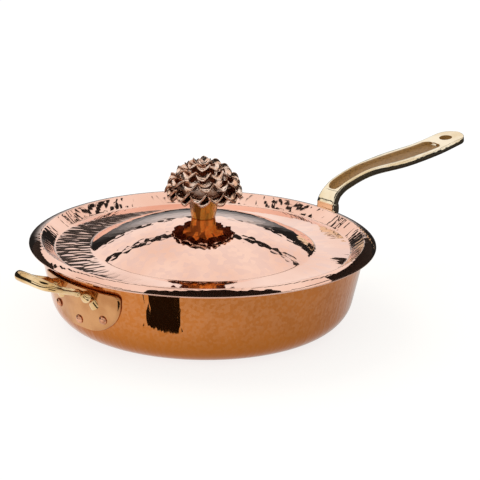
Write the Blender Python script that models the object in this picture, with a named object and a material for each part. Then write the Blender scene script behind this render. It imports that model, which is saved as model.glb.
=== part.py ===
# Copper saute pan with a domed lid, a cast long handle and a cast helper handle.
# Metres, +Z up. The origin is the middle of the base's underside and the long handle lies along +X.

import math

import bmesh
import bpy
from mathutils import Matrix, Vector

# Fits
CLEARANCE = 0.0003
OVERRUN = 0.004

# Pan body
PAN_RADIUS = 0.1439
PAN_HEIGHT = 0.0707
PAN_WALL = 0.002
PAN_FLARE = math.radians(12)
PAN_CORNER_RADIUS = 0.0275

# Lid, a spun sheet with a raised ring that straddles the pan's rim
LID_OVERHANG = 0.0082
LID_SHEET = 0.0015
LID_SKIRT_WIDTH = 0.0102
LID_SKIRT_BEND = 0.0175
LID_SLOPE_WIDTH = 0.0115
LID_WELL_DEPTH = 0.0090
LID_LEDGE_WIDTH = 0.0322
LID_DOME_RISE = 0.0265
LID_RIDGE_FILLET = 0.0026
LID_FOOT_FILLET = 0.0040
LID_CREASE_FILLET = 0.0060

# Long handle
HANDLE_LENGTH = 0.2015
HANDLE_RISE = 0.0640
HANDLE_ROOT_RISE = 0.0260
HANDLE_WIDTH = 0.0360
HANDLE_DEPTH = 0.0120
HANDLE_TIP_RADIUS = 0.0155
HANDLE_GROOVE_DEPTH = 0.0026
HANDLE_GROOVE_OVERHANG = 0.0350
HANDLE_HOLE_RADIUS = 0.0060
HANDLE_HOLE_SETBACK = 0.0190

# Flange of the long handle
FLANGE_WIDTH = 0.0700
FLANGE_HEIGHT = 0.0370
FLANGE_THICKNESS = 0.0035
FLANGE_FOOT = 0.0240
FLANGE_RIVET_MARGIN = 0.0130
FLANGE_RIVET_RISE = 0.0180
FLANGE_LOW_RIVET_RISE = 0.0070

# Helper handle, a plate with a fixed loop
PLATE_WIDTH = 0.1000
PLATE_HEIGHT = 0.0390
PLATE_THICKNESS = 0.0030
PLATE_FOOT = 0.0210
PLATE_RIVET_MARGIN = 0.0210
PLATE_RIVET_RISE = 0.0145
PLATE_LOW_RIVET_RISE = 0.0080
LOOP_SPREAD = 0.0430
LOOP_FOOT_RISE = 0.0270
LOOP_REACH = 0.0502
LOOP_RISE = 0.0262
LOOP_FOOT_RADIUS = 0.0070

# Rivets
RIVET_HEAD_RADIUS = 0.0040
RIVET_HEAD_HEIGHT = 0.0023
RIVET_SHANK_RADIUS = 0.0022

# Finial, a short stem under a head of cupped petals
STEM_RADIUS = 0.0106
STEM_FLARE = 0.0032
STEM_HEIGHT = 0.0185
HEAD_RADIUS = 0.0345
HEAD_HEIGHT = 0.0285
HEAD_DEPTH = 0.0120
HEAD_LIFT = 0.0240
CORE_RADIUS = 0.0245
CORE_HEIGHT = 0.0225
CORE_DROP = 0.0045
PETAL_LENGTH = 0.0170
PETAL_WIDTH = 0.0160
PETAL_THICKNESS = 0.0019
PETAL_CUP = 0.0042
PETAL_CURL = 0.0030
PETAL_SLANT = 0.0012

# Fastener of the finial, under the lid
SCREW_RADIUS = 0.0030
SCREW_REACH = 0.0100
SCREW_HEAD_RADIUS = 0.0055
SCREW_HEAD_HEIGHT = 0.0030
WASHER_RADIUS = 0.0090
WASHER_THICKNESS = 0.0012

# Counts and angles
TURN_STEPS = 52
SMALL_TURN_STEPS = 12
STEM_STEPS = 24
CORNER_STEPS = 6
LIP_STEPS = 4
DOME_STEPS = 6
CREASE_STEPS = 2
RIDGE_STEPS = 2
SKIRT_STEPS = 3
CORE_STEPS = 4
RIVET_DOME_STEPS = 2
HANDLE_STEPS = 24
TIP_STEPS = 6
HOLE_STEPS = 20
LOOP_SIDES = 10
PETAL_ROWS = 6
PETALS_AROUND = 13
LOWEST_PETAL_ANGLE = math.radians(-20)
HIGHEST_PETAL_ANGLE = math.radians(76)
PETAL_ROW_TURN = math.radians(137.5)
PETAL_TOP_TILT = math.radians(14)
CORE_TOP_ANGLE = math.radians(72)
TIP_TURN = math.radians(80)
SHARP_ANGLE = math.radians(32)
LID_SKIRT_START = math.radians(2)
TANGENT_STEP = 0.02
SEARCH_STEP = 0.002

# Shares of the sizes above, from the root of the long handle to its tip
HANDLE_REACH_SHARES = (-0.020, 0.032, 0.065, 0.067, 0.081, 0.108, 0.170, 0.320, 0.540, 0.760, 0.915, 1.0)
HANDLE_RISE_SHARES = (-0.030, 0.148, 0.297, 0.406, 0.500, 0.587, 0.688, 0.798, 0.838, 0.887, 0.960, 1.0)
HANDLE_WIDTH_SHARES = (0.76, 0.68, 0.61, 0.58, 0.55, 0.53, 0.56, 0.64, 0.955, 0.905, 0.87, 0.87)
HANDLE_DEPTH_SHARES = (1.0, 0.86, 0.73, 0.69, 0.65, 0.62, 0.60, 0.56, 0.52, 0.49, 0.48, 0.46)
HANDLE_SECTION_ACROSS_SHARES = (-0.84, -1.0, -0.93, -0.60, 0.60, 0.93, 1.0, 0.84)
HANDLE_SECTION_DEPTH_SHARES = (0.0, 0.18, 0.72, 1.0, 1.0, 0.72, 0.18, 0.0)
HANDLE_GROOVE_WIDTH_SHARE = 0.60
HANDLE_GROOVE_FLOOR_SHARE = 0.80
HANDLE_GROOVE_START_SHARE = 0.108
HANDLE_GROOVE_RUN_SHARES = (0.0, 0.012, 0.045, 0.15, 0.27, 0.40, 0.52, 0.64, 0.76, 0.87, 0.955, 0.988, 1.0)
HANDLE_GROOVE_END_SHARES = (0.25, 0.72, 1.0, 1.0, 1.0, 1.0, 1.0, 1.0, 1.0, 1.0, 1.0, 0.72, 0.25)

# Shares of a plate's height, from its foot up, and of its half width there
PLATE_HEIGHT_SHARES = (0.0, 0.020, 0.070, 0.17, 0.34, 0.60, 0.88, 0.965, 1.0)
PLATE_WIDTH_SHARES = (0.16, 0.34, 0.49, 0.65, 0.81, 0.94, 1.0, 0.985, 0.94)
PLATE_THICKNESS_SHARES = (0.40, 0.75, 1.0, 1.0, 1.0, 1.0, 1.0, 0.90, 0.40)
PLATE_ACROSS_SHARES = (-1.0, -0.95, -0.62, -0.31, 0.0, 0.31, 0.62, 0.95, 1.0)
PLATE_EDGE_SHARES = (0.45, 1.0, 1.0, 1.0, 1.0, 1.0, 1.0, 1.0, 0.45)

# Shares of the loop's half spread, reach, rise and foot radius, from its foot to the middle of its bar
LOOP_ACROSS_SHARES = (1.0, 0.99, 0.98, 0.97, 0.96, 0.955, 0.955, 0.93, 0.80, 0.46, 0.0)
LOOP_REACH_SHARES = (0.0, 0.097, 0.185, 0.28, 0.36, 0.437, 0.69, 0.855, 0.96, 0.995, 1.0)
LOOP_RISE_SHARES = (0.0, 0.168, 0.29, 0.405, 0.481, 0.546, 0.718, 0.863, 0.954, 0.992, 1.0)
LOOP_THICKNESS_SHARES = (1.0, 0.66, 0.79, 0.45, 0.50, 0.43, 0.44, 0.52, 0.62, 0.66, 0.66)
LOOP_FLAT_SHARE = 0.86

# Shares of a petal's length and width, from its root to its lip
PETAL_REACH_SHARES = (0.0, 0.66, 0.92)
PETAL_WIDTH_SHARES = (0.60, 1.0, 0.64)
PETAL_THICKNESS_SHARES = (1.0, 1.0, 0.75)
PETAL_ACROSS_SHARES = (-1.0, -0.42, 0.42, 1.0)
PETAL_TILT_SHARE = 0.5
PETAL_NARROWING_SHARE = 0.28
HEAD_TAPER_SHARE = 0.13


def clear_scene():
    for old in list(bpy.data.objects):
        bpy.data.objects.remove(old, do_unlink=True)


def make_material(name, colour, roughness):
    material = bpy.data.materials.new(name)
    material.use_nodes = True
    shader = material.node_tree.nodes["Principled BSDF"]
    shader.inputs["Base Color"].default_value = (*colour, 1.0)
    shader.inputs["Roughness"].default_value = roughness
    shader.inputs["Metallic"].default_value = 1.0
    return material


def face_outward(bm):
    if bm.calc_volume(signed=True) < 0:
        bmesh.ops.reverse_faces(bm, faces=bm.faces)


def add_object(name, bm, material=None, parent=None):
    mesh = bpy.data.meshes.new(name)
    bm.to_mesh(mesh)
    bm.free()
    mesh.shade_smooth()
    mesh.set_sharp_from_angle(angle=SHARP_ANGLE)
    obj = bpy.data.objects.new(name, mesh)
    bpy.context.scene.collection.objects.link(obj)
    obj.parent = parent
    if material:
        mesh.materials.append(material)
    return obj


def add_empty(name, place):
    empty = bpy.data.objects.new(name, None)
    bpy.context.scene.collection.objects.link(empty)
    empty.location = place
    return empty


def add_cutter(name, bm):
    cutter = add_object(name, bm)
    cutter.display_type = "WIRE"
    cutter.hide_render = True
    return cutter


def boolean(obj, other, operation):
    modifier = obj.modifiers.new(other.name, "BOOLEAN")
    modifier.operation = operation
    modifier.solver = "EXACT"
    modifier.object = other


# Outlines are lists of (radius, height) points, from the inner end of a sheet's upper side outward


def arc(centre, radius, start, end, steps):
    angles = [start + (end - start) * step / steps for step in range(steps + 1)]
    return [(centre[0] + radius * math.cos(a), centre[1] + radius * math.sin(a)) for a in angles]


def fillet(before, corner, after, radius, steps):
    corner = Vector(corner)
    back = (Vector(before) - corner).normalized()
    ahead = (Vector(after) - corner).normalized()
    half_angle = back.angle(ahead) / 2
    reach = radius / math.tan(half_angle)
    centre = corner + (back + ahead).normalized() * (radius / math.sin(half_angle))
    first = corner + back * reach - centre
    last = corner + ahead * reach - centre
    turn = first.angle_signed(last)
    return [tuple(centre + Matrix.Rotation(-turn * step / steps, 2) @ first) for step in range(steps + 1)]


def offset_line(points, distance):
    shifted = []
    for index, point in enumerate(points):
        before = Vector(points[max(index - 1, 0)])
        after = Vector(points[min(index + 1, len(points) - 1)])
        here = Vector(point)
        ways = [way.normalized() for way in (here - before, after - here) if way.length > 0]
        normals = [Vector((-way.y, way.x)) for way in ways]
        normal = sum(normals, Vector((0, 0))).normalized()
        spread = normal.dot(normals[0])
        shifted.append(tuple(here + normal * (distance / spread)))
    return shifted


def lathe(outline, steps, closed):
    bm = bmesh.new()
    verts = [bm.verts.new((radius, 0, height)) for radius, height in outline]
    pairs = list(zip(verts, verts[1:]))
    if closed:
        pairs.append((verts[-1], verts[0]))
    edges = [bm.edges.new(pair) for pair in pairs]
    bmesh.ops.spin(
        bm, geom=verts + edges, axis=(0, 0, 1), cent=(0, 0, 0),
        angle=math.tau, steps=steps, use_merge=True,
    )
    bmesh.ops.remove_doubles(bm, verts=bm.verts, dist=CLEARANCE / 100)
    bmesh.ops.recalc_face_normals(bm, faces=bm.faces)
    face_outward(bm)
    return bm


def close_end(bm, ring):
    """Four-sided faces between a ring's two halves, which stay true on a bent ring."""
    for index in range(len(ring) // 2 - 1):
        bm.faces.new((ring[index], ring[index + 1], ring[-2 - index], ring[-1 - index]))


def loft(sections):
    bm = bmesh.new()
    rings = [[bm.verts.new(point) for point in section] for section in sections]
    count = len(rings[0])
    for ring, following in zip(rings, rings[1:]):
        for index in range(count):
            after = (index + 1) % count
            bm.faces.new((ring[index], ring[after], following[after], following[index]))
    close_end(bm, rings[0][::-1])
    close_end(bm, rings[-1])
    face_outward(bm)
    return bm


def smooth_value(values, position):
    """A smooth curve through evenly numbered values."""
    index = min(int(position), len(values) - 2)
    t = position - index
    p1, p2 = values[index], values[index + 1]
    p0 = values[index - 1] if index > 0 else p1
    p3 = values[index + 2] if index + 2 < len(values) else p2
    slope1, slope2 = (p2 - p0) / 2, (p3 - p1) / 2
    return (
        (2 * t**3 - 3 * t**2 + 1) * p1 + (t**3 - 2 * t**2 + t) * slope1
        + (3 * t**2 - 2 * t**3) * p2 + (t**3 - t**2) * slope2
    )


# Pan body


def wall_radius(height):
    return PAN_RADIUS - (PAN_HEIGHT - height) * math.tan(PAN_FLARE)


def pan_outer_line():
    tangent_height = PAN_CORNER_RADIUS * (1 - math.sin(PAN_FLARE))
    base_radius = wall_radius(tangent_height) - PAN_CORNER_RADIUS * math.cos(PAN_FLARE)
    corner = arc((base_radius, PAN_CORNER_RADIUS), PAN_CORNER_RADIUS, -math.pi / 2, -PAN_FLARE, CORNER_STEPS)
    return [(0, 0)] + corner + [(PAN_RADIUS, PAN_HEIGHT)]


def rim_centre():
    half_wall = PAN_WALL / 2
    return PAN_RADIUS - half_wall * math.cos(PAN_FLARE), PAN_HEIGHT + half_wall * math.sin(PAN_FLARE)


def build_pan_body(material, rivets):
    outer = pan_outer_line()
    inner = offset_line(outer, PAN_WALL)
    lip = arc(rim_centre(), PAN_WALL / 2, -PAN_FLARE, math.pi - PAN_FLARE, LIP_STEPS)
    body = add_object("pan_body", lathe(outer + lip[1:-1] + inner[::-1], TURN_STEPS, False), material)
    for rivet in rivets:
        boolean(body, rivet["hole"], "DIFFERENCE")
    return body


def build_envelope():
    """The pan's outside plus a clearance, which trims what seats against the wall."""
    line = offset_line(pan_outer_line(), -CLEARANCE)
    radius, height = line[-1]
    tall = OVERRUN * 2
    line.append((radius + tall * math.tan(PAN_FLARE), height + tall))
    line.append((0, line[-1][1]))
    return add_cutter("pan_envelope", lathe(line, TURN_STEPS, False))


# Riveted plates


def wall_frame(angle, height):
    ahead = Vector((math.cos(angle), math.sin(angle), 0))
    side = Vector((-math.sin(angle), math.cos(angle), 0))
    out = ahead * math.cos(PAN_FLARE) - Vector((0, 0, math.sin(PAN_FLARE)))
    place = ahead * wall_radius(height) + Vector((0, 0, height))
    return Matrix.Translation(place) @ Matrix((side, out.cross(side), out)).transposed().to_4x4()


def wall_plate(width, height, foot, thickness):
    sections = []
    rows = zip(PLATE_HEIGHT_SHARES, PLATE_WIDTH_SHARES, PLATE_THICKNESS_SHARES)
    for height_share, width_share, edge in rows:
        level = foot + height * height_share
        back = wall_radius(level) - OVERRUN / 2
        front = wall_radius(level) + CLEARANCE
        spread = width / 2 * width_share / (front + thickness)
        ring = [(spread * share, back) for share in reversed(PLATE_ACROSS_SHARES)]
        ring += [
            (spread * share, front + thickness * edge * side)
            for share, side in zip(PLATE_ACROSS_SHARES, PLATE_EDGE_SHARES)
        ]
        sections.append([(r * math.cos(a), r * math.sin(a), level) for a, r in ring])
    return loft(sections)


def place_rivets(name, facing, spread, height, low_height, thickness):
    """Two rivets side by side and one below them, with the hole that each passes through."""
    sideways = math.asin(spread / (wall_radius(height) + thickness))
    places = ((-sideways, height), (0, low_height), (sideways, height))
    rivets = []
    for number, (angle, level) in enumerate(places, 1):
        frame = wall_frame(facing + angle, level)
        bm = bmesh.new()
        bmesh.ops.create_cone(
            bm, cap_ends=True, segments=SMALL_TURN_STEPS, depth=(thickness + PAN_WALL + OVERRUN) * 2,
            radius1=RIVET_SHANK_RADIUS + CLEARANCE, radius2=RIVET_SHANK_RADIUS + CLEARANCE,
        )
        hole = add_cutter(f"{name}_{number}_hole", bm)
        hole.matrix_world = frame
        rivets.append({"name": f"{name}_{number}", "frame": frame, "hole": hole, "seat": thickness})
    return rivets


def build_rivet(rivet, material):
    facet_sag = PAN_RADIUS * (1 - math.cos(math.pi / TURN_STEPS))
    top = rivet["seat"] + CLEARANCE * 2
    bottom = -(PAN_WALL + CLEARANCE + facet_sag)
    dome = (RIVET_HEAD_RADIUS**2 + RIVET_HEAD_HEIGHT**2) / (2 * RIVET_HEAD_HEIGHT)
    edge = math.asin(RIVET_HEAD_RADIUS / dome)
    head_centre = top + RIVET_HEAD_HEIGHT - dome
    tail_centre = bottom - RIVET_HEAD_HEIGHT + dome
    head = arc((0, head_centre), dome, math.pi / 2, math.pi / 2 - edge, RIVET_DOME_STEPS)
    tail = arc((0, tail_centre), dome, edge - math.pi / 2, -math.pi / 2, RIVET_DOME_STEPS)
    shank = [(RIVET_SHANK_RADIUS, top), (RIVET_SHANK_RADIUS, bottom)]
    outline = [(0, head[0][1])] + head[1:] + shank + tail[:-1] + [(0, tail[-1][1])]
    obj = add_object(rivet["name"], lathe(outline, SMALL_TURN_STEPS, False), material)
    obj.matrix_world = rivet["frame"]
    return obj


# Long handle


def handle_frame(position):
    """Middle of the handle's upper face, its upward normal, its half width and its depth."""
    def place(at):
        root = FLANGE_FOOT + HANDLE_ROOT_RISE
        return Vector((
            wall_radius(root) + HANDLE_LENGTH * smooth_value(HANDLE_REACH_SHARES, at),
            0,
            root + HANDLE_RISE * smooth_value(HANDLE_RISE_SHARES, at),
        ))
    last = len(HANDLE_REACH_SHARES) - 1
    after = place(min(position + TANGENT_STEP, last))
    before = place(max(position - TANGENT_STEP, 0))
    ahead = (after - before).normalized()
    normal = Vector((-ahead.z, 0, ahead.x))
    half_width = HANDLE_WIDTH / 2 * smooth_value(HANDLE_WIDTH_SHARES, position)
    depth = HANDLE_DEPTH * smooth_value(HANDLE_DEPTH_SHARES, position)
    return place(position), normal, half_width, depth


def handle_position(reach_share):
    low, high = 0, len(HANDLE_REACH_SHARES) - 1
    while high - low > SEARCH_STEP:
        middle = (low + high) / 2
        if smooth_value(HANDLE_REACH_SHARES, middle) < reach_share:
            low = middle
        else:
            high = middle
    return low


def handle_section(position, narrowing):
    centre, normal, half_width, depth = handle_frame(position)
    across = Vector((0, half_width * narrowing, 0))
    shares = zip(HANDLE_SECTION_ACROSS_SHARES, HANDLE_SECTION_DEPTH_SHARES)
    return [centre + across * side - normal * depth * down for side, down in shares]


def build_long_handle(material, envelope, rivets):
    tip_start = 1 - HANDLE_TIP_RADIUS / HANDLE_LENGTH
    last_straight = handle_position(tip_start)
    sections = [handle_section(last_straight * step / HANDLE_STEPS, 1) for step in range(HANDLE_STEPS + 1)]
    for step in range(1, TIP_STEPS + 1):
        turn = TIP_TURN * step / TIP_STEPS
        reach = tip_start + (1 - tip_start) * math.sin(turn)
        sections.append(handle_section(handle_position(reach), math.cos(turn)))
    handle = add_object("long_handle", loft(sections), material)
    boolean(handle, build_groove_cutter(), "DIFFERENCE")
    boolean(handle, build_hole_cutter(), "DIFFERENCE")
    flange = wall_plate(FLANGE_WIDTH, FLANGE_HEIGHT, FLANGE_FOOT, FLANGE_THICKNESS)
    boolean(handle, add_cutter("long_handle_flange", flange), "UNION")
    boolean(handle, envelope, "DIFFERENCE")
    for rivet in rivets:
        boolean(handle, rivet["hole"], "DIFFERENCE")
    return handle


def build_groove_cutter():
    start = HANDLE_GROOVE_START_SHARE
    end = 1 - HANDLE_GROOVE_OVERHANG / HANDLE_LENGTH
    sections = []
    for run, rounding in zip(HANDLE_GROOVE_RUN_SHARES, HANDLE_GROOVE_END_SHARES):
        centre, normal, half_width, depth = handle_frame(handle_position(start + (end - start) * run))
        across = Vector((0, half_width * HANDLE_GROOVE_WIDTH_SHARE * rounding, 0))
        floor = centre - normal * HANDLE_GROOVE_DEPTH
        sections.append([
            centre - across + normal * OVERRUN,
            floor - across * HANDLE_GROOVE_FLOOR_SHARE,
            floor + across * HANDLE_GROOVE_FLOOR_SHARE,
            centre + across + normal * OVERRUN,
        ])
    return add_cutter("long_handle_groove", loft(sections))


def build_hole_cutter():
    centre, normal, _, depth = handle_frame(handle_position(1 - HANDLE_HOLE_SETBACK / HANDLE_LENGTH))
    bm = bmesh.new()
    bmesh.ops.create_cone(
        bm, cap_ends=True, segments=HOLE_STEPS, depth=(depth + OVERRUN) * 2,
        radius1=HANDLE_HOLE_RADIUS, radius2=HANDLE_HOLE_RADIUS,
    )
    cutter = add_cutter("long_handle_hanging_hole", bm)
    cutter.location = centre
    cutter.rotation_euler = normal.to_track_quat("Z", "Y").to_euler()
    return cutter


# Helper handle


def loop_point(position):
    """A point of the half loop on +X, from its foot in the wall to the middle of its bar."""
    half_spread = LOOP_SPREAD / 2
    foot_height = PLATE_FOOT + LOOP_FOOT_RISE
    foot_radius = wall_radius(foot_height)
    foot = math.sqrt(foot_radius**2 - half_spread**2)
    reach = smooth_value(LOOP_REACH_SHARES, position)
    return Vector((
        foot + (foot_radius + LOOP_REACH - foot) * reach,
        half_spread * smooth_value(LOOP_ACROSS_SHARES, position),
        foot_height + LOOP_RISE * smooth_value(LOOP_RISE_SHARES, position),
    ))


def loop_ring(position, mirrored):
    last = len(LOOP_REACH_SHARES) - 1
    after = loop_point(min(position + TANGENT_STEP, last))
    before = loop_point(max(position - TANGENT_STEP, 0))
    ahead = (after - before).normalized()
    plane_normal = Vector((-LOOP_RISE, 0, LOOP_REACH)).normalized()
    side = ahead.cross(plane_normal).normalized()
    up = side.cross(ahead)
    thickness = LOOP_FOOT_RADIUS * smooth_value(LOOP_THICKNESS_SHARES, position)
    ring = []
    for corner in range(LOOP_SIDES):
        turn = math.tau * corner / LOOP_SIDES
        point = loop_point(position) + thickness * (
            side * math.cos(turn) * LOOP_FLAT_SHARE + up * math.sin(turn)
        )
        ring.append(Vector((point.x, -point.y, point.z)) if mirrored else point)
    return ring


def build_helper_handle(material, envelope, rivets):
    stations = len(LOOP_REACH_SHARES) - 1
    half = [loop_ring(step / 2, False) for step in range(stations * 2 + 1)]
    other = [loop_ring(step / 2, True) for step in range(stations * 2)]
    root = [point - Vector((OVERRUN / 2, 0, 0)) for point in half[0]]
    other_root = [point - Vector((OVERRUN / 2, 0, 0)) for point in other[0]]
    loop = loft([root] + half + other[::-1] + [other_root])
    plate = wall_plate(PLATE_WIDTH, PLATE_HEIGHT, PLATE_FOOT, PLATE_THICKNESS)
    for bm in (loop, plate):
        bmesh.ops.rotate(bm, verts=bm.verts, matrix=Matrix.Rotation(math.pi, 3, "Z"))
    helper = add_object("helper_handle", plate, material)
    boolean(helper, add_cutter("helper_handle_loop", loop), "UNION")
    boolean(helper, envelope, "DIFFERENCE")
    for rivet in rivets:
        boolean(helper, rivet["hole"], "DIFFERENCE")
    return helper


# Lid


def skirt_centre():
    """Centre of the skirt's bend, one clearance off the pan's rim."""
    rim_radius, rim_height = rim_centre()
    radius = PAN_RADIUS + LID_OVERHANG - LID_SKIRT_WIDTH - LID_SKIRT_BEND * math.sin(LID_SKIRT_START)
    to_rim = LID_SKIRT_BEND - LID_SHEET - CLEARANCE - PAN_WALL / 2
    return radius, rim_height - math.sqrt(to_rim**2 - (rim_radius - radius) ** 2)


def lid_ridge():
    radius, height = skirt_centre()
    return (
        radius + LID_SKIRT_BEND * math.sin(LID_SKIRT_START),
        height + LID_SKIRT_BEND * math.cos(LID_SKIRT_START),
    )


def dome_shape():
    """Radius of the dome's foot, radius of its sphere and height of the sphere's centre."""
    ridge_radius, ridge_height = lid_ridge()
    foot = ridge_radius - LID_SLOPE_WIDTH - LID_LEDGE_WIDTH
    sphere = (foot**2 + LID_DOME_RISE**2) / (2 * LID_DOME_RISE)
    return foot, sphere, ridge_height - LID_WELL_DEPTH + LID_DOME_RISE - sphere


def dome_height(radius, below=0.0):
    foot, sphere, centre = dome_shape()
    return centre + math.sqrt((sphere - below) ** 2 - radius**2)


def lid_top_line():
    ridge_radius, ridge_height = lid_ridge()
    ledge = ridge_height - LID_WELL_DEPTH
    dome_foot, sphere, centre = dome_shape()
    crease = (dome_foot, ledge)
    foot = (ridge_radius - LID_SLOPE_WIDTH, ledge)
    centre_radius, centre_height = skirt_centre()
    skirt_end = math.asin((ridge_radius + LID_SKIRT_WIDTH - centre_radius) / LID_SKIRT_BEND)
    skirt = arc(
        (centre_radius, centre_height), LID_SKIRT_BEND,
        math.pi / 2 - LID_SKIRT_START, math.pi / 2 - skirt_end, SKIRT_STEPS,
    )
    end_angle = math.asin(dome_foot / sphere)
    above_crease = (dome_foot - math.cos(end_angle), ledge + math.sin(end_angle))
    crease_bend = fillet(above_crease, crease, foot, LID_CREASE_FILLET, CREASE_STEPS)
    foot_bend = fillet(crease, foot, skirt[0], LID_FOOT_FILLET, CREASE_STEPS)
    ridge_bend = fillet(foot, skirt[0], skirt[1], LID_RIDGE_FILLET, RIDGE_STEPS)
    hole_angle = math.asin((SCREW_RADIUS + CLEARANCE) / sphere)
    dome_end = math.asin(crease_bend[0][0] / sphere)
    dome = arc((0, centre), sphere, math.pi / 2 - hole_angle, math.pi / 2 - dome_end, DOME_STEPS)
    return dome[:-1] + crease_bend + foot_bend + ridge_bend + skirt[1:]


def build_lid(material, axis):
    top = lid_top_line()
    under = offset_line(top, -LID_SHEET)
    edge_middle = (Vector(top[-1]) + Vector(under[-1])) / 2
    outward = (Vector(top[-1]) - Vector(top[-2])).normalized() * LID_SHEET / 2
    outline = top + [tuple(edge_middle + outward)] + under[::-1]
    seat = axis.location.z
    outline = [(radius, height - seat) for radius, height in outline]
    return add_object("lid", lathe(outline, TURN_STEPS, True), material, axis)


# Finial and its fastener


def head_middle():
    return dome_height(0) + HEAD_LIFT


def build_finial_core(material, axis):
    seat = axis.location.z
    middle = head_middle()
    bore = SCREW_RADIUS + CLEARANCE
    stem_foot = dome_height(STEM_RADIUS) + CLEARANCE
    bore_foot = dome_height(bore) + CLEARANCE
    stem_top = dome_height(0) + STEM_HEIGHT
    squash = CORE_HEIGHT / CORE_RADIUS
    dome = arc((0, 0), CORE_RADIUS, CORE_TOP_ANGLE, 0, CORE_STEPS)
    outline = [(0, middle + CORE_HEIGHT)]
    outline += [(radius, middle + height * squash) for radius, height in dome]
    outline += [
        (CORE_RADIUS - CORE_DROP, middle - CORE_DROP),
        (STEM_RADIUS + STEM_FLARE, stem_top),
        (STEM_RADIUS, stem_foot),
        (bore, bore_foot),
        (bore, bore_foot + SCREW_REACH + CLEARANCE),
        (0, bore_foot + SCREW_REACH + CLEARANCE),
    ]
    outline = [(radius, height - seat) for radius, height in outline]
    return add_object("finial", lathe(outline, STEM_STEPS, False), material, axis)


def row_climb(row_share):
    return LOWEST_PETAL_ANGLE + (HIGHEST_PETAL_ANGLE - LOWEST_PETAL_ANGLE) * row_share


def petal_sections(row_share, angle, seat):
    """One cupped petal: its root lies in the core and its lip on the head's outline."""
    climb = row_climb(row_share)
    swell = HEAD_HEIGHT if climb > 0 else HEAD_DEPTH
    taper = HEAD_TAPER_SHARE * math.sin(climb * 2) * row_share
    lip_radius = HEAD_RADIUS * (math.cos(climb) - taper)
    lip = Vector((lip_radius, 0, head_middle() - seat + swell * math.sin(climb)))
    tilt = climb * PETAL_TILT_SHARE + PETAL_TOP_TILT * row_share**4
    ahead = Vector((math.cos(tilt), 0, math.sin(tilt)))
    up = Vector((-math.sin(tilt), 0, math.cos(tilt)))
    size = 1 - PETAL_NARROWING_SHARE * row_share
    root = lip - ahead * PETAL_LENGTH * size - up * PETAL_CURL * size
    turned = Matrix.Rotation(angle, 3, "Z")
    sections = []
    for reach, width, thickness in zip(PETAL_REACH_SHARES, PETAL_WIDTH_SHARES, PETAL_THICKNESS_SHARES):
        upper, lower = [], []
        for side in PETAL_ACROSS_SHARES:
            bulge = (1 - side**2) * (1 - PETAL_REACH_SHARES[-1]) * reach
            point = root + ahead * PETAL_LENGTH * size * (reach + bulge)
            point += Vector((0, PETAL_WIDTH / 2 * size * width * side, 0))
            point += up * size * (PETAL_CURL * reach**2 + PETAL_CUP * side**2 * width + PETAL_SLANT * side)
            upper.append(turned @ point)
            lower.append(turned @ (point - up * PETAL_THICKNESS * thickness))
        sections.append(upper + lower[::-1])
    return sections


def build_finial(material, axis):
    finial = build_finial_core(material, axis)
    petals = bmesh.new()
    angle = 0
    for row in range(PETAL_ROWS):
        row_share = row / (PETAL_ROWS - 1)
        count = max(3, round(PETALS_AROUND * math.cos(row_climb(row_share))))
        angle += PETAL_ROW_TURN
        for number in range(count):
            petal = loft(petal_sections(row_share, angle + math.tau * number / count, axis.location.z))
            mesh = bpy.data.meshes.new("petal")
            petal.to_mesh(mesh)
            petal.free()
            petals.from_mesh(mesh)
            bpy.data.meshes.remove(mesh)
    head = add_cutter("finial_petals", petals)
    head.parent = axis
    boolean(finial, head, "UNION")
    finial.modifiers[-1].use_self = True
    return finial


def build_fastener(material, axis):
    seat = axis.location.z
    washer_top = dome_height(WASHER_RADIUS, LID_SHEET) - CLEARANCE
    washer_bottom = washer_top - WASHER_THICKNESS
    bore = SCREW_RADIUS + CLEARANCE
    washer = [
        (bore, washer_top),
        (WASHER_RADIUS, washer_top),
        (WASHER_RADIUS, washer_bottom),
        (bore, washer_bottom),
    ]
    washer = [(radius, height - seat) for radius, height in washer]
    add_object("finial_washer", lathe(washer, STEM_STEPS, True), material, axis)
    head_top = washer_bottom - CLEARANCE
    head_bottom = head_top - SCREW_HEAD_HEIGHT
    shank_top = dome_height(bore) + CLEARANCE + SCREW_REACH
    screw = [
        (0, shank_top),
        (SCREW_RADIUS, shank_top),
        (SCREW_RADIUS, head_top),
        (SCREW_HEAD_RADIUS, head_top),
        (SCREW_HEAD_RADIUS, head_bottom + SCREW_HEAD_HEIGHT / 3),
        (SCREW_HEAD_RADIUS * 3 / 4, head_bottom),
        (0, head_bottom),
    ]
    screw = [(radius, height - seat) for radius, height in screw]
    add_object("finial_screw", lathe(screw, SMALL_TURN_STEPS, False), material, axis)


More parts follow.
